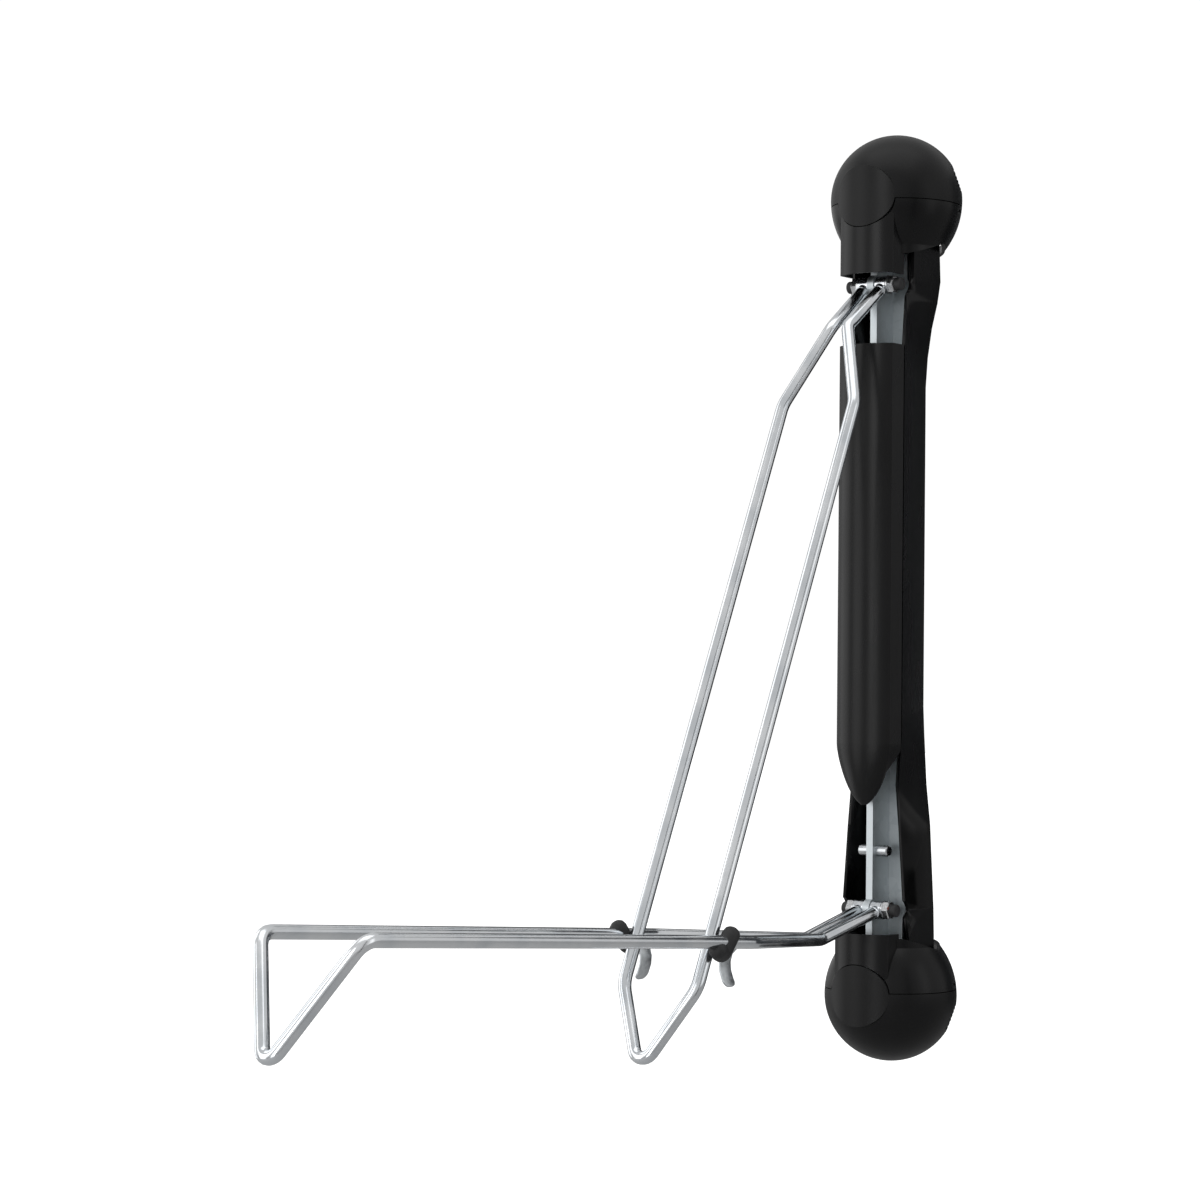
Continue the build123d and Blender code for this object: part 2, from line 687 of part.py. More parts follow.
cover_outside = cover_form(0)
cover_inside = cover_form(shell_wall)
with BuildPart() as front_cover:
    add(cover_outside)
    add(cover_inside, mode=Mode.SUBTRACT)
    with BuildSketch(Plane.YZ) as tip_cut:
        with BuildLine():
            Polyline(
                (cover_rear_y + 10, cover_low - cover_heel_drop),
                (cover_rear_y, cover_low - cover_heel_drop),
                (skirt_y, cover_low - cover_heel_drop - cover_heel_length),
                (skirt_y, cover_low - 60),
                (cover_rear_y + 10, cover_low - 60),
                close=True,
            )
        make_face()
    extrude(amount=2 * face_half_width, both=True, mode=Mode.SUBTRACT)
    with BuildSketch(Plane.XZ.offset(-flange_front_y)) as cover_bosses:
        for height in screw_heights:
            with Locations((0, height)):
                with GridLocations(screw_spread, 0, 2, 1):
                    Circle(boss_radius)
    extrude(amount=boss_depth - flange_setback)
    with BuildSketch(Plane.XZ.offset(-flange_front_y)) as cover_boss_holes:
        for height in screw_heights:
            with Locations((0, height)):
                with GridLocations(screw_spread, 0, 2, 1):
                    Circle(screw_radius)
    extrude(amount=boss_hole_depth, mode=Mode.SUBTRACT)


# ---- screws --------------------------------------------------------------------------
def screw_group(heights, head_y, direction):
    """Pan-head screws through the flange, two at each height."""
    with BuildPart() as group:
        for height in heights:
            for x in (-screw_spread / 2, screw_spread / 2):
                with BuildSketch(Plane.XZ.offset(-head_y)):
                    with Locations((x, height)):
                        Circle(2 * screw_radius)
                extrude(amount=-direction * screw_radius)
                with BuildSketch(Plane.XZ.offset(-head_y)):
                    with Locations((x, height)):
                        Circle(screw_radius)
                extrude(amount=direction * (spine_sheet + screw_length))
    return group.part


# ---- arms ----------------------------------------------------------------------------
def bent_rod(points, radii, z):
    """Round rod bent through the points from one hinge eye round to the other."""
    with BuildPart() as rod:
        with BuildLine() as centre_line:
            FilletPolyline(points, radius=radii)
        with BuildSketch(Plane(centre_line.line @ 0, z_dir=centre_line.line % 0)):
            Circle(rod_radius)
        sweep()
        with BuildSketch(Plane.YZ) as eye_saddle:
            with Locations((hinge_y, z)):
                Circle(eye_radius)
        extrude(amount=3 * eye_length, both=True, mode=Mode.SUBTRACT)
    return rod.part


def hinge_point(x, reach, rise, z):
    return (x, hinge_y - reach, z + rise)


lower_slope = (lower_front_rise + lower_neck_drop) / (lower_front_reach - lower_neck_reach)


def rail_rise(reach):
    """Height of the lower arm's rails over its hinge, beyond the neck."""
    return -lower_neck_drop + lower_slope * (reach - lower_neck_reach)


upper_half = [
    hinge_point(eye_middle, 0, 0, upper_hinge_z),
    hinge_point(upper_neck_half_width, upper_neck_reach, -upper_neck_drop, upper_hinge_z),
    hinge_point(upper_shoulder_half_width, upper_shoulder_reach, -upper_shoulder_drop, upper_hinge_z),
    hinge_point(upper_knee_half_width, upper_knee_reach, -upper_knee_drop, upper_hinge_z),
]
upper_tip = hinge_point(0, upper_tip_reach, -upper_tip_drop, upper_hinge_z)
upper_path = upper_half + [upper_tip] + [(-x, y, z) for x, y, z in reversed(upper_half)]
upper_radii = [neck_bend_radius, shoulder_bend_radius, shoulder_bend_radius]
upper_arm_loop = bent_rod(
    upper_path, upper_radii + [tip_bend_radius] + upper_radii[::-1], upper_hinge_z
)

lower_half = [
    hinge_point(eye_middle, 0, 0, lower_hinge_z),
    hinge_point(lower_neck_half_width, lower_neck_reach, -lower_neck_drop, lower_hinge_z),
    hinge_point(lower_half_width, lower_bend_reach, rail_rise(lower_bend_reach), lower_hinge_z),
    hinge_point(lower_half_width, lower_front_reach, lower_front_rise, lower_hinge_z),
]
lower_tip = hinge_point(0, lower_tip_reach, -lower_tip_drop, lower_hinge_z)
lower_path = lower_half + [lower_tip] + [(-x, y, z) for x, y, z in reversed(lower_half)]
lower_radii = [neck_bend_radius, shoulder_bend_radius, corner_bend_radius]
lower_arm_loop = bent_rod(
    lower_path, lower_radii + [tip_bend_radius] + lower_radii[::-1], lower_hinge_z
)


def both_sides(part):
    return Compound(children=[part, part.mirror(Plane.YZ)])


# ---- catches and bumpers -------------------------------------------------------------
catch_rail_z = lower_hinge_z + rail_rise(catch_reach)
bumper_rail_z = lower_hinge_z + rail_rise(bumper_reach)

with BuildPart() as right_catch:
    with BuildSketch(Plane.XZ.offset(-(hinge_y - catch_reach + catch_width / 2))) as catch_profile:
        with BuildLine() as catch_middle:
            start = (lower_half_width - catch_inset, catch_rail_z)
            elbow = (lower_half_width - catch_inset, catch_rail_z - catch_length)
            Line(start, elbow)
            TangentArc(elbow, (elbow[0] + catch_flick, elbow[1] - catch_flick), tangent=(0, -1))
            offset(amount=catch_sheet / 2)
        make_face()
    extrude(amount=catch_width)
    add(lower_arm_loop, mode=Mode.SUBTRACT)

with BuildPart() as right_bumper:
    with BuildSketch(Plane.YZ.offset(bumper_inner)) as bumper_profile:
        with Locations((hinge_y - bumper_reach, bumper_rail_z - bumper_drop)):
            SlotCenterToCenter(bumper_length, bumper_height, rotation=bumper_slant)
    extrude(amount=bumper_thickness)
    chamfer(right_bumper.edges().group_by(Axis.X)[-1], 1.5)
    add(lower_arm_loop, mode=Mode.SUBTRACT)
    add(right_catch.part, mode=Mode.SUBTRACT)

# ---- write the pieces ----------------------------------------------------------------
for piece, name in (
    (wall_plate.part, "wall_plate"),
    (swivel_pin.part, "pivot_pin"),
    (swivel_bush.part, "bush"),
    (swivel_lug.part, "lug"),
    (cap.part, "cap"),
):
    save(put(piece, True), "upper_" + name)
    save(put(piece, False), "lower_" + name)
save(put(housing(upper_collar_drop), True), "upper_housing")
save(put(housing(lower_collar_rise), False), "lower_housing")
all_tab_screws = put(tab_screws.part, True).solids() + put(tab_screws.part, False).solids()
save(Compound(children=all_tab_screws), "housing_screws")
save(spine_right.part, "spine_right")
save(spine_right.part.mirror(Plane.YZ), "spine_left")
save(back_channel.part, "back_channel")
save(front_cover.part, "front_cover")
save(screw_group(screw_heights, flange_back_y, 1), "cover_screws")
channel_heights = [height + 2 * boss_radius for height in screw_heights]
save(screw_group(channel_heights, flange_front_y, -1), "channel_screws")
save(stop_pin.part, "stop_pin")
for name, z in (("upper", upper_hinge_z), ("lower", lower_hinge_z)):
    eye = tube_along_x(spine_sheet + eye_gap, eye_length, eye_radius, eye_bore, z)
    washer = tube_along_x(washer_near, washer_thickness, washer_radius, hinge_bolt_radius + pin_fit, z)
    save(hinge_bolt(z), name + "_hinge_bolt")
    save(hinge_nut(z), name + "_hinge_nut")
    save(both_sides(washer), name + "_hinge_washers")
    save(both_sides(end_cap(z)), name + "_end_caps")
    save(both_sides(eye), name + "_arm_eyes")
save(upper_arm_loop, "upper_arm_loop")
save(lower_arm_loop, "lower_arm_loop")
save(right_catch.part, "right_catch")
save(right_catch.part.mirror(Plane.YZ), "left_catch")
save(right_bumper.part, "right_bumper")
save(right_bumper.part.mirror(Plane.YZ), "left_bumper")
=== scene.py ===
import json
import math

import bpy
from mathutils import Matrix, Vector


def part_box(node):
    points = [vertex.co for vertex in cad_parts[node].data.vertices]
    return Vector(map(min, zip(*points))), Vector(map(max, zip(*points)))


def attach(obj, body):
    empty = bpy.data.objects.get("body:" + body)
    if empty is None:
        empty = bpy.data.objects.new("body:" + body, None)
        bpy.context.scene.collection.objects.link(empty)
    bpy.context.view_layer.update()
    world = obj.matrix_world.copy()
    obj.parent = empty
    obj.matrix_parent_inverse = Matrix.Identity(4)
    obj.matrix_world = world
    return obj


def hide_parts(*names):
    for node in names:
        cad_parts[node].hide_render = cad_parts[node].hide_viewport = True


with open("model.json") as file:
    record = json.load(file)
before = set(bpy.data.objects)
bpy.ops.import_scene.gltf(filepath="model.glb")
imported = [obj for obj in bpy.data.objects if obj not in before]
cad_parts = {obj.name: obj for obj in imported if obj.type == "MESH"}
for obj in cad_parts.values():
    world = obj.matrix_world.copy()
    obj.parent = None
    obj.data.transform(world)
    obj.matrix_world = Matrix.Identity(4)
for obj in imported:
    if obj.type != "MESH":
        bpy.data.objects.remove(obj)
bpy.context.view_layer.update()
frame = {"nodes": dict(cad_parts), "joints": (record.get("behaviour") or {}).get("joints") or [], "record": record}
nodes = frame["nodes"]
print("frame loaded:", len(nodes), "CAD nodes")


# small helpers for building materials
def addNode(owner, kind, **settings):
    node = owner.node_tree.nodes.new(kind)
    for name, value in settings.items():
        setattr(node, name, value)
    return node


def link(owner, outSocket, inSocket):
    owner.node_tree.links.new(outSocket, inSocket)


def newFinish(name, **constants):
    # a principled material with its constants set on the shader's own sockets
    material = bpy.data.materials.new(name)
    material.use_nodes = True
    shader = material.node_tree.nodes["Principled BSDF"]
    for socket, value in constants.items():
        shader.inputs[socket.replace("_", " ")].default_value = value
    return material, shader


def noiseOn(material, scale, detail, stretch=(1, 1, 1)):
    # noise on object coordinates, stretched along one axis for drawn metal or flow marks
    place = addNode(material, "ShaderNodeTexCoord")
    mapping = addNode(material, "ShaderNodeMapping")
    mapping.inputs["Scale"].default_value = stretch
    noise = addNode(material, "ShaderNodeTexNoise")
    noise.inputs["Scale"].default_value = scale
    noise.inputs["Detail"].default_value = detail
    link(material, place.outputs["Object"], mapping.inputs["Vector"])
    link(material, mapping.outputs["Vector"], noise.inputs["Vector"])
    return noise.outputs["Fac"]


def tint(material, shader, source, dark, light, start=0.35, end=0.65):
    # a 0..1 source runs the base colour from dark to light
    node = addNode(material, "ShaderNodeValToRGB")
    node.color_ramp.elements[0].position = start
    node.color_ramp.elements[1].position = end
    node.color_ramp.elements[0].color = (*dark, 1)
    node.color_ramp.elements[1].color = (*light, 1)
    link(material, source, node.inputs["Fac"])
    link(material, node.outputs["Color"], shader.inputs["Base Color"])


def roughen(material, shader, source, smooth, rough, start=0.3, end=0.7):
    # a 0..1 source runs the roughness from smooth to rough
    node = addNode(material, "ShaderNodeMapRange")
    node.inputs["From Min"].default_value = start
    node.inputs["From Max"].default_value = end
    node.inputs["To Min"].default_value = smooth
    node.inputs["To Max"].default_value = rough
    link(material, source, node.inputs["Value"])
    link(material, node.outputs["Result"], shader.inputs["Roughness"])


def bump(material, shader, source, distance, strength):
    node = addNode(material, "ShaderNodeBump")
    node.inputs["Distance"].default_value = distance
    node.inputs["Strength"].default_value = strength
    link(material, source, node.inputs["Height"])
    link(material, node.outputs["Normal"], shader.inputs["Normal"])


# a noise is (scale, detail), with its stretch where it has one
# housing and cap are (smooth, rough, strength of the grain)
plastic = {"dark": (0.0026, 0.0026, 0.0029), "light": (0.0046, 0.0046, 0.0050), "index": 1.5, "mirror": 0.24,
           "cloud": (14, 4), "flow": (30, 2, (1, 1, 0.25)), "grain": (1600, 2), "grainHeight": 0.00002,
           "housing": (0.24, 0.32, 0.35), "cap": (0.34, 0.44, 0.7)}


def makeMouldedPlastic(name, smooth, rough, strength):
    # black moulding: faint flow marks under a fine spark-eroded grain
    material, shader = newFinish(name, IOR=plastic["index"], Specular_IOR_Level=plastic["mirror"])
    cloud = noiseOn(material, *plastic["cloud"])
    flow = noiseOn(material, *plastic["flow"])
    grain = noiseOn(material, *plastic["grain"])
    tint(material, shader, cloud, plastic["dark"], plastic["light"])
    roughen(material, shader, flow, smooth, rough)
    bump(material, shader, grain, plastic["grainHeight"], strength)
    return material


brightZinc = {"dark": (0.62, 0.66, 0.70), "light": (0.86, 0.88, 0.90), "toneRange": (0.2, 0.6),
              "gloss": (0.10, 0.22), "cloud": (30, 5), "drawn": (900, 2, (1, 0.03, 0.03)),
              "drawnHeight": 0.00001, "drawnStrength": 0.4}


def makeBrightZinc():
    material, shader = newFinish("bright zinc", Metallic=1.0)
    cloud = noiseOn(material, *brightZinc["cloud"])
    drawn = noiseOn(material, *brightZinc["drawn"])
    tint(material, shader, cloud, brightZinc["dark"], brightZinc["light"], *brightZinc["toneRange"])
    roughen(material, shader, cloud, *brightZinc["gloss"])
    bump(material, shader, drawn, brightZinc["drawnHeight"], brightZinc["drawnStrength"])
    return material


# each sheet metal is (name, dark, light, roughness from and to, scale of its flakes)
sheetMetals = {
    "spine_steel": ("galvanised", (0.52, 0.56, 0.58), (0.66, 0.70, 0.72), (0.38, 0.50), 160),
    "zinc_plate": ("zinc plate", (0.55, 0.56, 0.56), (0.72, 0.73, 0.74), (0.32, 0.5), 220),
    "catch_steel": ("catch steel", (0.55, 0.58, 0.60), (0.75, 0.78, 0.80), (0.28, 0.42), 400),
    "bolt_zinc": ("bolt zinc", (0.56, 0.57, 0.58), (0.78, 0.79, 0.80), (0.2, 0.34), 600),
    "eye_steel": ("eye steel", (0.60, 0.63, 0.66), (0.80, 0.83, 0.86), (0.16, 0.28), 500),
    "pin_steel": ("pin steel", (0.52, 0.54, 0.56), (0.74, 0.76, 0.78), (0.2, 0.34), 500),
}
sheetSurface = {"toneRange": (0.25, 0.75), "cloud": (25, 4), "cloudShare": 0.6,
                "dentHeight": 0.00004, "dentStrength": 0.3}


def makeSheetMetal(name, dark, light, gloss, flake):
    # galvanised or zinc plated sheet: crystal flakes with slightly different tones
    material, shader = newFinish(name, Metallic=1.0)
    place = addNode(material, "ShaderNodeTexCoord")
    flakes = addNode(material, "ShaderNodeTexVoronoi")
    flakes.inputs["Scale"].default_value = flake
    link(material, place.outputs["Object"], flakes.inputs["Vector"])
    grey = addNode(material, "ShaderNodeRGBToBW")
    link(material, flakes.outputs["Color"], grey.inputs["Color"])
    cloud = noiseOn(material, *sheetSurface["cloud"])
    mixed = addNode(material, "ShaderNodeMix", data_type="FLOAT")
    mixed.inputs["Factor"].default_value = sheetSurface["cloudShare"]
    link(material, grey.outputs["Val"], mixed.inputs["A"])
    link(material, cloud, mixed.inputs["B"])
    tint(material, shader, mixed.outputs["Result"], dark, light, *sheetSurface["toneRange"])
    roughen(material, shader, mixed.outputs["Result"], *gloss)
    bump(material, shader, cloud, sheetSurface["dentHeight"], sheetSurface["dentStrength"])
    return material


rubber = {"dark": (0.010, 0.010, 0.011), "light": (0.022, 0.022, 0.023), "gloss": (0.5, 0.68),
          "cloud": (90, 4), "grain": (2200, 2), "grainHeight": 0.00004, "grainStrength": 0.6}


def makeRubber():
    material, shader = newFinish("rubber")
    cloud = noiseOn(material, *rubber["cloud"])
    grain = noiseOn(material, *rubber["grain"])
    tint(material, shader, cloud, rubber["dark"], rubber["light"])
    roughen(material, shader, cloud, *rubber["gloss"])
    bump(material, shader, grain, rubber["grainHeight"], rubber["grainStrength"])
    return material


nylon = {"dark": (0.62, 0.60, 0.55), "light": (0.74, 0.72, 0.67), "gloss": (0.42, 0.55),
         "cloud": (60, 3), "milkiness": 0.1}
blackSteel = {"dark": (0.015, 0.015, 0.016), "light": (0.04, 0.04, 0.042), "gloss": (0.3, 0.45),
              "cloud": (200, 3), "metal": 0.6}


def makeClouded(name, look, **constants):
    # a plain surface with one cloud in its tone and its gloss
    material, shader = newFinish(name, **constants)
    cloud = noiseOn(material, *look["cloud"])
    tint(material, shader, cloud, look["dark"], look["light"])
    roughen(material, shader, cloud, *look["gloss"])
    return material


finishes = {slot: makeSheetMetal(*values) for slot, values in sheetMetals.items()}
finishes["black_plastic"] = makeMouldedPlastic("moulded plastic", *plastic["housing"])
finishes["bright_rod"] = makeBrightZinc()
finishes["black_rubber"] = makeRubber()
finishes["bush_plastic"] = makeClouded("nylon", nylon, Subsurface_Weight=nylon["milkiness"])
finishes["black_screw"] = makeClouded("blackened steel", blackSteel, Metallic=blackSteel["metal"])
capPlastic = makeMouldedPlastic("cap plastic", *plastic["cap"])


def dressNodes():
    # the caps are a little duller than the other mouldings
    for part in frame["record"]["subparts"]:
        mesh = nodes[part["node"]].data
        mesh.materials.clear()
        if part["node"].endswith("_cap"):
            mesh.materials.append(capPlastic)
        else:
            mesh.materials.append(finishes[part["material_slot"]])


dressNodes()

hinges = {joint["name"]: joint for joint in frame["joints"]}
meshCare = {"mergeWithin": 0.00001, "smoothUnder": 40, "sameLevel": 0.0001}


def deselectAll():
    if bpy.context.mode != "OBJECT":
        bpy.ops.object.mode_set(mode="OBJECT")
    bpy.ops.object.select_all(action="DESELECT")


def selectCorners(piece, wanted):
    # leaves the piece in edit mode, with only the wanted corners selected
    bpy.ops.object.mode_set(mode="EDIT")
    bpy.ops.mesh.select_mode(type="VERT")
    bpy.ops.mesh.select_all(action="DESELECT")
    bpy.ops.object.mode_set(mode="OBJECT")
    for corner in piece.data.vertices:
        corner.select = wanted(corner.co)
    bpy.ops.object.mode_set(mode="EDIT")


def ripplePiece(amount, seed):
    # every corner of the piece at hand moves a little along its normal
    bpy.ops.object.mode_set(mode="EDIT")
    bpy.ops.mesh.select_all(action="SELECT")
    bpy.ops.transform.vertex_random(offset=amount, seed=seed, normal=1.0)


def settle(piece):
    # place and turn go into the mesh, doubles merge, faces look outwards
    deselectAll()
    piece.select_set(True)
    bpy.context.view_layer.objects.active = piece
    bpy.ops.object.transform_apply(location=True, rotation=True, scale=True)
    bpy.ops.object.mode_set(mode="EDIT")
    bpy.ops.mesh.select_all(action="SELECT")
    bpy.ops.mesh.remove_doubles(threshold=meshCare["mergeWithin"])
    bpy.ops.mesh.normals_make_consistent(inside=False)
    bpy.ops.object.mode_set(mode="OBJECT")
    bpy.ops.object.shade_smooth_by_angle(angle=math.radians(meshCare["smoothUnder"]))


def setMaterial(piece, material):
    piece.data.materials.clear()
    piece.data.materials.append(material)


def finishPiece(piece, name, slot, body):
    piece.name = name
    setMaterial(piece, finishes[slot])
    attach(piece, body)


def newTube(shape):
    # a curve with the tube's thickness round it
    deselectAll()
    bpy.ops.curve.primitive_bezier_curve_add(location=(0, 0, 0))
    tube = bpy.context.object.data
    tube.dimensions = "3D"
    tube.resolution_u = shape["bendSteps"]
    tube.bevel_depth = shape["radius"]
    tube.bevel_resolution = shape["roundness"]
    tube.use_fill_caps = True
    return tube.splines[0]


def placeStraight(point, place, swell=1.0):
    point.handle_left_type = point.handle_right_type = "VECTOR"
    point.co = place
    point.radius = swell


def drawBend(spline, index, corner, before, after, bend, straightPull=0.2):
    # two points whose handles turn one corner in a round bend
    back = (before - corner).normalized()
    ahead = (after - corner).normalized()
    turn = math.pi - back.angle(ahead)
    reach = bend * math.tan(turn / 2)
    pull = bend * 4 / 3 * math.tan(turn / 4)
    for offset, way in enumerate((back, ahead)):
        point = spline.bezier_points[index + offset]
        point.handle_left_type = point.handle_right_type = "FREE"
        point.co = corner + way * reach
        handles = [point.co + way * bend * straightPull, point.co - way * pull]
        if way is ahead:
            handles.reverse()
        point.handle_left, point.handle_right = handles


# each corner is (side, forward, rise) from the hinge, with the radius of its bend
# the left side mirrors the right
bentRods = {
    "upperRod": {"stands for": "upper_arm_loop", "joint": "upper_arm_lift",
                 "side": [((0.0081, 0, 0), 0), ((0.0074, 0.0528, -0.0386), 0.018),
                          ((0.0335, 0.0825, -0.102), 0.030), ((0.033, 0.2855, -0.5433), 0.030)],
                 "tip": ((0, 0.3115, -0.6035), 0.009)},
    "lowerRod": {"stands for": "lower_arm_loop", "joint": "lower_arm_fold",
                 "side": [((0.0081, 0, 0), 0), ((0.0070, 0.0837, -0.0189), 0.018),
                          ((0.0445, 0.232, -0.0091), 0.030), ((0.0445, 0.6573, 0.0189), 0.015)],
                 "tip": ((0, 0.7000, -0.0625), 0.0075)},
}
rodShape = {"radius": 0.005, "roundness": 6, "bendSteps": 10, "eyeGap": 0.006}


def fromHinge(place, side):
    # side is 1 on the right and -1 on the left
    return Vector((place[0] * side, -place[1], place[2]))


def rodCorners(rod):
    hinge = Vector(hinges[rod["joint"]]["pos_m"])
    right = [(hinge + fromHinge(place, 1), bend) for place, bend in rod["side"]]
    left = [(hinge + fromHinge(place, -1), bend) for place, bend in rod["side"]]
    place, bend = rod["tip"]
    return right + [(hinge + fromHinge(place, 1), bend)] + left[::-1]


def makeBentRod(name, rod):
    corners = rodCorners(rod)
    spline = newTube(rodShape)
    spline.bezier_points.add(2 * (len(corners) - 2))
    for end, near in ((0, 1), (-1, -2)):
        toward = (corners[near][0] - corners[end][0]).normalized()
        placeStraight(spline.bezier_points[end], corners[end][0] + toward * rodShape["eyeGap"])
    for step in range(1, len(corners) - 1):
        corner, bend = corners[step]
        drawBend(spline, 2 * step - 1, corner, corners[step - 1][0], corners[step + 1][0], bend)
    bpy.ops.object.convert(target="MESH")
    piece = bpy.context.object
    settle(piece)
    finishPiece(piece, name, "bright_rod", hinges[rod["joint"]]["child"])
    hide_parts(rod["stands for"])


for rodName, rodValues in bentRods.items():
    makeBentRod(rodName, rodValues)
print("rods bent")

# a rubber boot grips each rail, and the two lean apart: the stations are top, heel under the rail and toe
boots = {
    "rightBoot": {"stands for": "right_bumper",
                  "stations": [(0.0467, -0.3265, 0.0735), (0.0438, -0.3380, 0.0550),
                               (0.0467, -0.3500, 0.0605)]},
    "leftBoot": {"stands for": "left_bumper",
                 "stations": [(-0.0467, -0.3466, 0.0735), (-0.0430, -0.3345, 0.0550),
                              (-0.0467, -0.3250, 0.0605)]},
}
# each nose row is (how far in from the end, share of the full thickness)
bootShape = {"radius": 0.0067, "roundness": 6, "bendSteps": 8, "bend": 0.003,
             "noses": [(0.0, 0.30), (0.0008, 0.58), (0.0024, 0.85), (0.0055, 1.0)]}


def makeBoot(name, boot):
    top, heel, toe = [Vector(place) for place in boot["stations"]]
    noses = bootShape["noses"]
    spline = newTube(bootShape)
    spline.bezier_points.add(2 * len(noses))
    last = 2 * len(noses) + 1
    for end, step, place in ((0, 1, top), (last, -1, toe)):
        way = (heel - place).normalized()
        for count, (along, swell) in enumerate(noses):
            placeStraight(spline.bezier_points[end + step * count], place + way * along, swell)
    drawBend(spline, len(noses), heel, top, toe, bootShape["bend"])
    for middle in (len(noses), len(noses) + 1):
        spline.bezier_points[middle].radius = 1.0
    bpy.ops.object.convert(target="MESH")
    piece = bpy.context.object
    settle(piece)
    finishPiece(piece, name, "black_rubber", "lower_arm")
    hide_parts(boot["stands for"])


for bootName, bootValues in boots.items():
    makeBoot(bootName, bootValues)

# the catch is a strip that bows inwards below the rail and ends in a round tongue
# the bow is (side, height)
catch = {"width": 0.0135, "thickness": 0.0016, "forward": -0.3226, "startDrop": 0.0008,
         "tongueRound": 0.0048, "tongueSteps": 6, "edge": 0.0003, "edgeSteps": 2,
         "bow": [(0.0440, 0.0612), (0.0415, 0.0585), (0.0375, 0.0545), (0.0358, 0.0485),
                 (0.0362, 0.0425), (0.0385, 0.0360), (0.0415, 0.0310)]}


def makeCatch(name, node, side):
    bow = catch["bow"]
    startX, startZ = bow[0]
    deselectAll()
    bpy.ops.mesh.primitive_plane_add(size=catch["width"], location=(startX * side, catch["forward"], startZ),
                                     rotation=(0, math.radians(90), 0))
    piece = bpy.context.object
    bpy.ops.object.transform_apply(location=True, rotation=True, scale=True)
    low = min(corner.co.z for corner in piece.data.vertices)
    selectCorners(piece, lambda place: abs(place.z - low) < meshCare["sameLevel"])
    bpy.ops.mesh.select_mode(type="EDGE")
    bpy.ops.transform.translate(value=(0, 0, startZ - low - catch["startDrop"]))
    for (x, z), (nextX, nextZ) in zip(bow, bow[1:]):
        step = ((nextX - x) * side, 0, nextZ - z)
        bpy.ops.mesh.extrude_region_move(TRANSFORM_OT_translate={"value": step})
    bpy.ops.mesh.select_mode(type="VERT")
    bpy.ops.mesh.bevel(offset=catch["tongueRound"], segments=catch["tongueSteps"], affect="VERTICES")
    bpy.ops.object.mode_set(mode="OBJECT")
    wall = piece.modifiers.new("wall", "SOLIDIFY")
    wall.thickness = catch["thickness"]
    wall.offset = 0
    bpy.ops.object.modifier_apply(modifier=wall.name)
    edge = piece.modifiers.new("edge", "BEVEL")
    edge.width = catch["edge"]
    edge.segments = catch["edgeSteps"]
    bpy.ops.object.modifier_apply(modifier=edge.name)
    settle(piece)
    finishPiece(piece, name, "catch_steel", "lower_arm")
    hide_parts(node)


makeCatch("rightTongue", "right_catch", 1)
makeCatch("leftTongue", "left_catch", -1)
print("boots and tongues on the lower rails")

# the channel's rear corners move back, most of all under the upper bracket
# each reach is (from, to) in height and how far
channelBack = {"shell": -0.030,
               "reaches": [((0.0, 0.64), 0.0025), ((0.100, 0.60), 0.0020), ((0.560, 0.60), 0.0030)]}


def makeChannel():
    source = nodes["back_channel"]
    piece = source.copy()
    piece.data = source.data.copy()
    bpy.context.scene.collection.objects.link(piece)
    settle(piece)
    for (low, high), push in channelBack["reaches"]:
        selectCorners(piece, lambda place: place.y > channelBack["shell"] and low < place.z < high)
        bpy.ops.transform.translate(value=(0, push, 0))
        bpy.ops.object.mode_set(mode="OBJECT")
    finishPiece(piece, "channelShell", "black_plastic", "swivel_frame")
    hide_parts("back_channel")


makeChannel()
print("channel drawn out")

# weld beads run round the rods where they meet the eyes, a little outwards to clear the blade
weld = {"out": 0.0096, "aside": 0.0006, "ring": 0.0046, "bead": 0.0008, "segments": (36, 10),
        "ripple": 0.0002, "seed": 5, "smooth": 0.5}


def makeWelds():
    for rodName, rod in bentRods.items():
        hinge = Vector(hinges[rod["joint"]]["pos_m"])
        for side, sideName in ((1, "Right"), (-1, "Left")):
            start, nextPlace = [fromHinge(place, side) for place, _ in rod["side"][:2]]
            way = (nextPlace - start).normalized()
            aside = Vector((weld["aside"] * side, 0, 0))
            deselectAll()
            bpy.ops.mesh.primitive_torus_add(location=hinge + start + way * weld["out"] + aside,
                                             rotation=way.to_track_quat("Z", "Y").to_euler(),
                                             major_radius=weld["ring"], minor_radius=weld["bead"],
                                             major_segments=weld["segments"][0],
                                             minor_segments=weld["segments"][1])
            piece = bpy.context.object
            ripplePiece(weld["ripple"], weld["seed"] + side)
            bpy.ops.mesh.vertices_smooth(factor=weld["smooth"], repeat=1)
            bpy.ops.object.mode_set(mode="OBJECT")
            settle(piece)
            finishPiece(piece, rodName + sideName + "Weld", "eye_steel", hinges[rod["joint"]]["child"])


makeWelds()
print("welds on")

# a dab of red-brown thread paint on the nut of the lower hinge
paintDab = {"size": 0.0021, "squash": (0.35, 1, 0.8), "segments": (20, 12), "sunk": 0.0002,
            "fromFront": 0.0035, "fromTop": 0.0048, "ripple": 0.0002, "seed": 3,
            "dark": (0.16, 0.03, 0.015), "light": (0.24, 0.05, 0.03), "cloud": (700, 3), "roughness": 0.35}


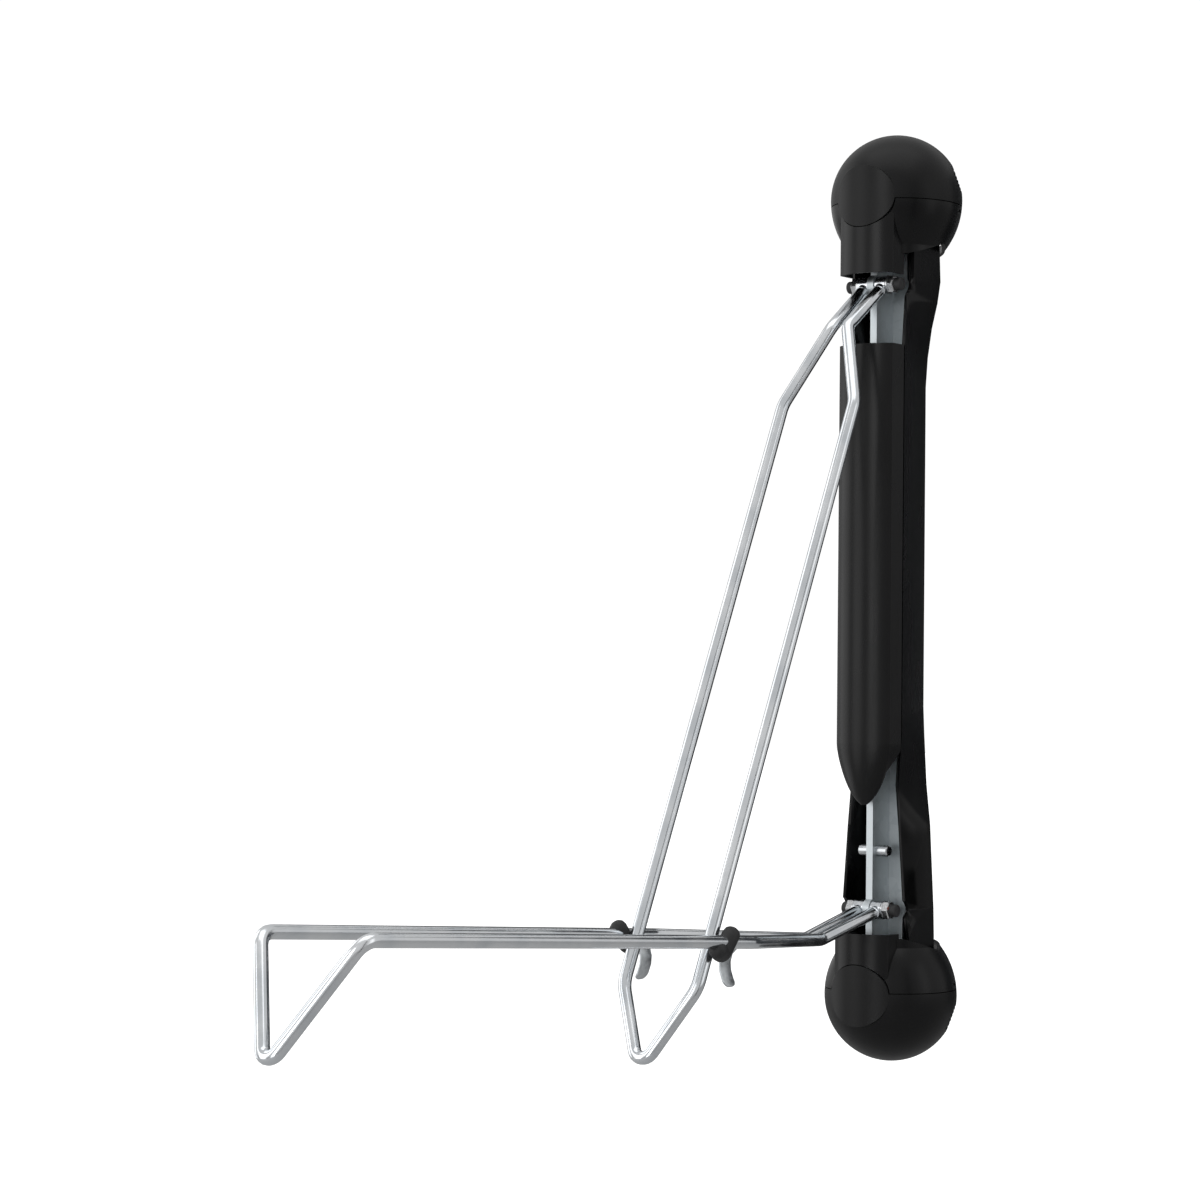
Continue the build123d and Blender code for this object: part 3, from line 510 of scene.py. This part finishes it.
def makePaintDab():
    low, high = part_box("lower_hinge_nut")
    place = (high[0] - paintDab["sunk"], low[1] + paintDab["fromFront"], high[2] - paintDab["fromTop"])
    deselectAll()
    bpy.ops.mesh.primitive_uv_sphere_add(segments=paintDab["segments"][0], ring_count=paintDab["segments"][1],
                                         radius=paintDab["size"], location=place)
    piece = bpy.context.object
    piece.scale = paintDab["squash"]
    bpy.ops.object.transform_apply(location=True, rotation=True, scale=True)
    ripplePiece(paintDab["ripple"], paintDab["seed"])
    bpy.ops.object.mode_set(mode="OBJECT")
    settle(piece)
    material, shader = newFinish("thread paint", Roughness=paintDab["roughness"])
    cloud = noiseOn(material, *paintDab["cloud"])
    tint(material, shader, cloud, paintDab["dark"], paintDab["light"])
    piece.name = "paintDab"
    setMaterial(piece, material)
    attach(piece, "swivel_frame")


makePaintDab()
print("thread paint on the nut")

studio = {"floorHeight": -0.6, "floorSize": 60.0, "floorColour": (0.5, 0.5, 0.5, 1), "floorGlow": 1.0,
          "white": (1, 1, 1, 1), "surround": 0.6, "backdrop": 1.05, "matt": 0.9}


def levelFor(owner, unseen, seen):
    # one strength for what only lights the rack, another for what the camera sees
    paths = addNode(owner, "ShaderNodeLightPath")
    level = addNode(owner, "ShaderNodeMapRange")
    level.inputs["To Min"].default_value = unseen
    level.inputs["To Max"].default_value = seen
    link(owner, paths.outputs["Is Camera Ray"], level.inputs["Value"])
    return level.outputs["Result"]


def makeFloor():
    deselectAll()
    bpy.ops.mesh.primitive_plane_add(size=studio["floorSize"], location=(0, 0, studio["floorHeight"]))
    floor = bpy.context.object
    floor.name = "floor"
    material, shader = newFinish("pale floor", Roughness=studio["matt"], Base_Color=studio["floorColour"],
                                 Emission_Color=studio["white"])
    glow = levelFor(material, 0.0, studio["floorGlow"])
    link(material, glow, shader.inputs["Emission Strength"])
    floor.data.materials.append(material)


def makeWorld():
    world = bpy.data.worlds.new("studio")
    world.use_nodes = True
    background = world.node_tree.nodes["Background"]
    background.inputs["Color"].default_value = studio["white"]
    link(world, levelFor(world, studio["surround"], studio["backdrop"]), background.inputs["Strength"])
    bpy.context.scene.world = world


# each dark board stands upright, its place is its middle; it gives the bright rods their dark line
boards = {
    "narrowBoard": {"place": (2.0, -1.05, 0.4), "size": (0.30, 3.0), "tone": (0.03, 0.032, 0.035, 1)},
    "rearBoard": {"place": (0.87, 2.46, 0.4), "size": (1.47, 3.0), "tone": (0.06, 0.064, 0.07, 1)},
    "backBoard": {"place": (-0.9, 2.3, 0.4), "size": (2.2, 3.0), "tone": (0.12, 0.125, 0.13, 1)},
}


def makeBoards():
    for name, board in boards.items():
        deselectAll()
        bpy.ops.mesh.primitive_plane_add(size=1, location=board["place"])
        card = bpy.context.object
        card.name = name
        card.scale = (*board["size"], 1)
        away = Vector(board["place"])
        away.z = 0
        card.rotation_euler = away.to_track_quat("Z", "Y").to_euler()
        material, _ = newFinish(name, Roughness=studio["matt"], Base_Color=board["tone"])
        card.data.materials.append(material)
        card.visible_camera = False


lights = {
    "leftBox": {"place": (-1.9, -0.62, 0.45), "aim": (0, -0.62, 0.3), "size": (1.2, 3.0), "power": 10},
    "frontBox": {"place": (-1.6, -2.5, 0.5), "aim": (0, -0.3, 0.3), "size": (1.2, 2.6), "power": 12},
    "nearBox": {"place": (0.35, -3.2, 0.5), "aim": (0, -0.1, 0.3), "size": (1.0, 2.6), "power": 17},
    "topBox": {"place": (0.1, -0.5, 2.3), "aim": (0, -0.3, 0.3), "size": (2.2, 1.6), "power": 8},
    "rightBox": {"place": (2.6, 0.2, 0.9), "aim": (0, -0.3, 0.3), "size": (0.8, 2.0), "power": 2.5},
}


def makeLights():
    for name, light in lights.items():
        data = bpy.data.lights.new(name, "AREA")
        data.shape = "RECTANGLE"
        data.size, data.size_y = light["size"]
        data.energy = light["power"]
        lamp = bpy.data.objects.new(name, data)
        bpy.context.scene.collection.objects.link(lamp)
        lamp.location = light["place"]
        toward = Vector(light["aim"]) - lamp.location
        lamp.rotation_euler = toward.to_track_quat("-Z", "Y").to_euler()


camera = {"place": (1.2868, -2.1111, 0.2514), "turn": 37.43, "tilt": 91.56, "roll": 0.59,
          "lens": 89.5, "sensor": 36}


def makeCamera():
    data = bpy.data.cameras.new("camera")
    data.lens = camera["lens"]
    data.sensor_width = camera["sensor"]
    view = bpy.data.objects.new("camera", data)
    bpy.context.scene.collection.objects.link(view)
    turn = Matrix.Rotation(math.radians(camera["turn"]), 3, "Z")
    tilt = Matrix.Rotation(math.radians(camera["tilt"]), 3, "X")
    roll = Matrix.Rotation(math.radians(camera["roll"]), 3, "Z")
    view.rotation_euler = (turn @ tilt @ roll).to_euler()
    view.location = camera["place"]
    bpy.context.scene.camera = view


makeFloor()
makeWorld()
makeBoards()
makeLights()
makeCamera()
bpy.context.scene.view_settings.view_transform = "Standard"
print("studio ready")
